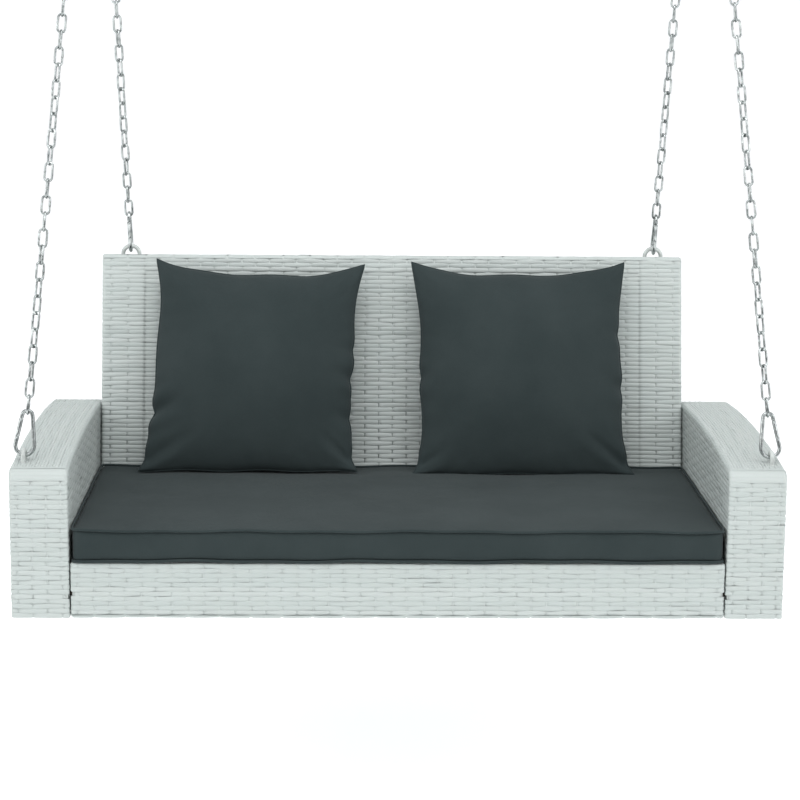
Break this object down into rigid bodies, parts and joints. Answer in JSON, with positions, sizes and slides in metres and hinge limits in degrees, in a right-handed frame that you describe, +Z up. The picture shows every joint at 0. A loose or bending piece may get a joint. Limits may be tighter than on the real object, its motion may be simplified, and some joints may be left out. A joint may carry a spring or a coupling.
{
  "type": "porch swing",
  "caption": "Hanging woven bench for two, with arms, reclined back, box cushion and throw pillows, on chains with snap hooks.",
  "frame": {"origin": "on the ceiling plane, midway between the two ceiling hangers, above the hanging pivot line", "axes": "+Z up, +Y towards the backrest, +X along the bench to the right seen from the front"},
  "size_m": [1.28, 0.6478, 1.7067],
  "materials": {
    "wicker": "satin white synthetic rattan",
    "frame": "white powder coat",
    "zinc": "bright zinc plate",
    "bolt": "black oxide",
    "fabric": "dark grey woven polyester"
  },
  "bodies": {
    "ceiling": {"ceiling_hanger_left": "zinc", "hanger_screw_left_outer": "zinc", "hanger_screw_left_inner": "zinc", "ceiling_hanger_right": "zinc", "hanger_screw_right_outer": "zinc", "hanger_screw_right_inner": "zinc"},
    "swing": {"seat_wicker": "wicker", "seat_frame": "frame", "back_wicker": "wicker", "back_frame": "frame", "arm_wicker_left": "wicker", "arm_frame_left": "frame", "arm_eye_left": "frame", "back_eye_left": "frame", "seat_bolt_front_left": "bolt", "seat_bolt_rear_left": "bolt", "back_bolt_lower_left": "bolt", "back_bolt_upper_left": "bolt", "arm_wicker_right": "wicker", "arm_frame_right": "frame", "arm_eye_right": "frame", "back_eye_right": "frame", "seat_bolt_front_right": "bolt", "seat_bolt_rear_right": "bolt", "back_bolt_lower_right": "bolt", "back_bolt_upper_right": "bolt", "snap_body_front_left": "zinc", "snap_rivet_front_left": "zinc", "chain_front_left": "zinc", "snap_body_rear_left": "zinc", "snap_rivet_rear_left": "zinc", "chain_rear_left": "zinc", "snap_body_top_left": "zinc", "snap_rivet_top_left": "zinc", "snap_body_front_right": "zinc", "snap_rivet_front_right": "zinc", "chain_front_right": "zinc", "snap_body_rear_right": "zinc", "snap_rivet_rear_right": "zinc", "chain_rear_right": "zinc", "snap_body_top_right": "zinc", "snap_rivet_top_right": "zinc"},
    "gate_front_left": {"snap_gate_front_left": "zinc"},
    "gate_rear_left": {"snap_gate_rear_left": "zinc"},
    "gate_top_left": {"snap_gate_top_left": "zinc"},
    "gate_front_right": {"snap_gate_front_right": "zinc"},
    "gate_rear_right": {"snap_gate_rear_right": "zinc"},
    "gate_top_right": {"snap_gate_top_right": "zinc"},
    "cushion": {"seat_cushion": "fabric"},
    "left_pillow": {"pillow_left": "fabric"},
    "right_pillow": {"pillow_right": "fabric"}
  },
  "joints": [
    {"name": "swing", "type": "hinge", "parent": "ceiling", "child": "swing", "pos_m": [0, 0, -0.035], "axis": [1, 0, 0], "range_deg": [-25, 25]},
    {"name": "gate_front_left", "type": "hinge", "parent": "swing", "child": "gate_front_left", "pos_m": [-0.62519, -0.28626, -1.34655], "axis": [0, -0.9755, 0.2201], "range_deg": [0, 25], "stiffness_Nm_per_rad": 0.3, "springref_deg": -9.74},
    {"name": "gate_rear_left", "type": "hinge", "parent": "swing", "child": "gate_rear_left", "pos_m": [-0.49134, 0.24923, -1.078], "axis": [0.9997, -0.0059, 0.0226], "range_deg": [0, 25], "stiffness_Nm_per_rad": 0.3, "springref_deg": -9.74},
    {"name": "gate_top_left", "type": "hinge", "parent": "swing", "child": "gate_top_left", "pos_m": [-0.515, -0.00969, -0.04366], "axis": [1, 0, 0], "range_deg": [0, 25], "stiffness_Nm_per_rad": 0.3, "springref_deg": -9.74},
    {"name": "gate_front_right", "type": "hinge", "parent": "swing", "child": "gate_front_right", "pos_m": [0.62519, -0.28626, -1.34655], "axis": [0, 0.9755, -0.2201], "range_deg": [0, 25], "stiffness_Nm_per_rad": 0.3, "springref_deg": -9.74},
    {"name": "gate_rear_right", "type": "hinge", "parent": "swing", "child": "gate_rear_right", "pos_m": [0.49134, 0.24923, -1.078], "axis": [0.9997, 0.0059, -0.0226], "range_deg": [0, 25], "stiffness_Nm_per_rad": 0.3, "springref_deg": -9.74},
    {"name": "gate_top_right", "type": "hinge", "parent": "swing", "child": "gate_top_right", "pos_m": [0.515, -0.00969, -0.04366], "axis": [1, 0, 0], "range_deg": [0, 25], "stiffness_Nm_per_rad": 0.3, "springref_deg": -9.74},
    {"name": "cushion_lift", "type": "slide", "parent": "swing", "child": "cushion", "axis": [0, 0, 1], "range_m": [0, 0.15]},
    {"name": "pillow_left_lift", "type": "slide", "parent": "cushion", "child": "left_pillow", "axis": [0, 0, 1], "range_m": [0, 0.2]},
    {"name": "pillow_right_lift", "type": "slide", "parent": "cushion", "child": "right_pillow", "axis": [0, 0, 1], "range_m": [0, 0.2]}
  ]
}
